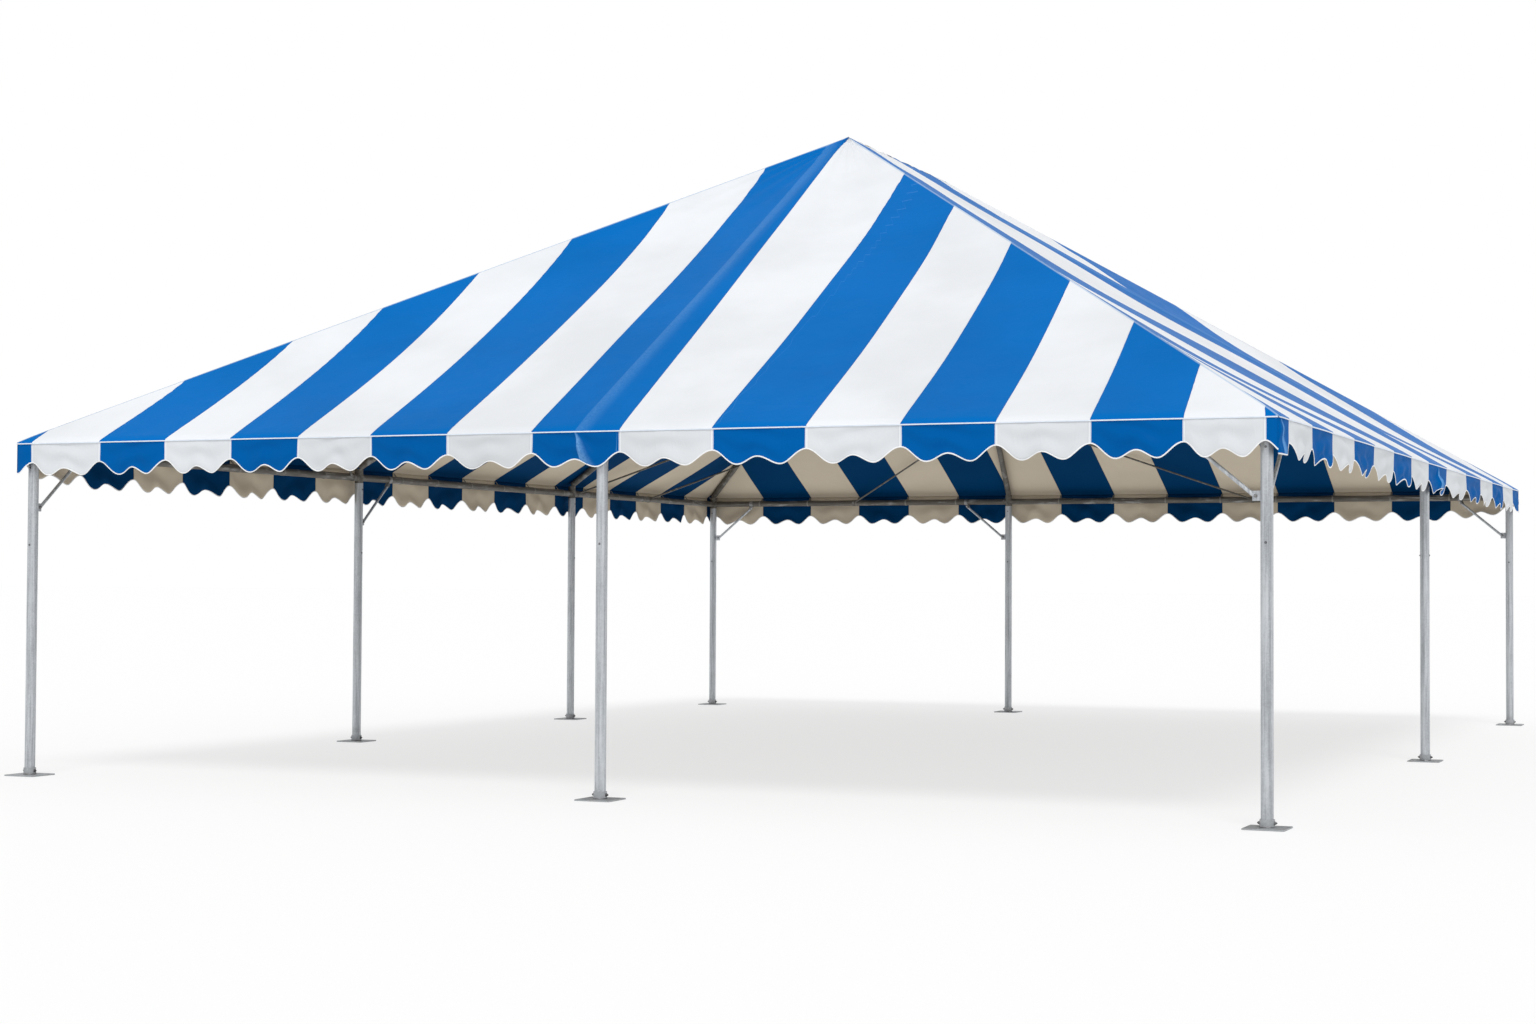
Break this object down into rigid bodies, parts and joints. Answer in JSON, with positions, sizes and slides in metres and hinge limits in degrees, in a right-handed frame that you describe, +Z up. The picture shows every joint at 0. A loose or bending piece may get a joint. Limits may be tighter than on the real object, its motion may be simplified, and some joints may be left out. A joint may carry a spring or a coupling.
{
  "type": "hip roof frame tent",
  "caption": "Open-sided party tent: striped hip-roof vinyl top with a scalloped valance, on a galvanised tube frame whose legs stand on square base plates.",
  "frame": {"origin": "on the ground under the middle of the tent", "axes": "+X runs along the 30 ft front, to the right of someone who faces it; +Y runs from the front to the back along the 40 ft sides; +Z is up"},
  "size_m": [9.398, 12.446, 5.2366],
  "materials": {
    "galvanised_pole": "dull hot-dip galvanised steel, streaked",
    "frame_tube": "dull galvanised steel tube",
    "base_plate": "weathered galvanised plate",
    "cast_fitting": "rough galvanised casting",
    "roof_vinyl": "satin coated vinyl in blue and white stripes",
    "valance_vinyl": "satin coated vinyl in blue and white stripes, white bound edge"
  },
  "bodies": {
    "root": {"base_plate_front_left": "base_plate", "leg_front_left": "galvanised_pole", "eave_fitting_front_left": "cast_fitting", "rafter_front_left": "frame_tube", "base_plate_front_middle": "base_plate", "leg_front_middle": "galvanised_pole", "eave_fitting_front_middle": "cast_fitting", "rafter_front_middle": "frame_tube", "base_plate_front_right": "base_plate", "leg_front_right": "galvanised_pole", "eave_fitting_front_right": "cast_fitting", "rafter_front_right": "frame_tube", "base_plate_right_middle": "base_plate", "leg_right_middle": "galvanised_pole", "eave_fitting_right_middle": "cast_fitting", "rafter_right_middle": "frame_tube", "base_plate_back_right": "base_plate", "leg_back_right": "galvanised_pole", "eave_fitting_back_right": "cast_fitting", "rafter_back_right": "frame_tube", "base_plate_back_middle": "base_plate", "leg_back_middle": "galvanised_pole", "eave_fitting_back_middle": "cast_fitting", "rafter_back_middle": "frame_tube", "base_plate_back_left": "base_plate", "leg_back_left": "galvanised_pole", "eave_fitting_back_left": "cast_fitting", "rafter_back_left": "frame_tube", "base_plate_left_far": "base_plate", "leg_left_far": "galvanised_pole", "eave_fitting_left_far": "cast_fitting", "rafter_left_far": "frame_tube", "base_plate_left_near": "base_plate", "leg_left_near": "galvanised_pole", "eave_fitting_left_near": "cast_fitting", "rafter_left_near": "frame_tube", "eave_rail_front_left": "frame_tube", "eave_rail_front_right": "frame_tube", "eave_rail_right_near": "frame_tube", "eave_rail_right_far": "frame_tube", "eave_rail_back_right": "frame_tube", "eave_rail_back_left": "frame_tube", "eave_rail_left_far": "frame_tube", "eave_rail_left_middle": "frame_tube", "eave_rail_left_near": "frame_tube", "crown_front": "cast_fitting", "crown_middle": "cast_fitting", "crown_back": "cast_fitting", "ridge_pole_front": "frame_tube", "ridge_pole_back": "frame_tube", "roof_front": "roof_vinyl", "valance_front": "valance_vinyl", "roof_right": "roof_vinyl", "valance_right": "valance_vinyl", "roof_back": "roof_vinyl", "valance_back": "valance_vinyl", "roof_left": "roof_vinyl", "valance_left": "valance_vinyl"}
  },
  "joints": []
}
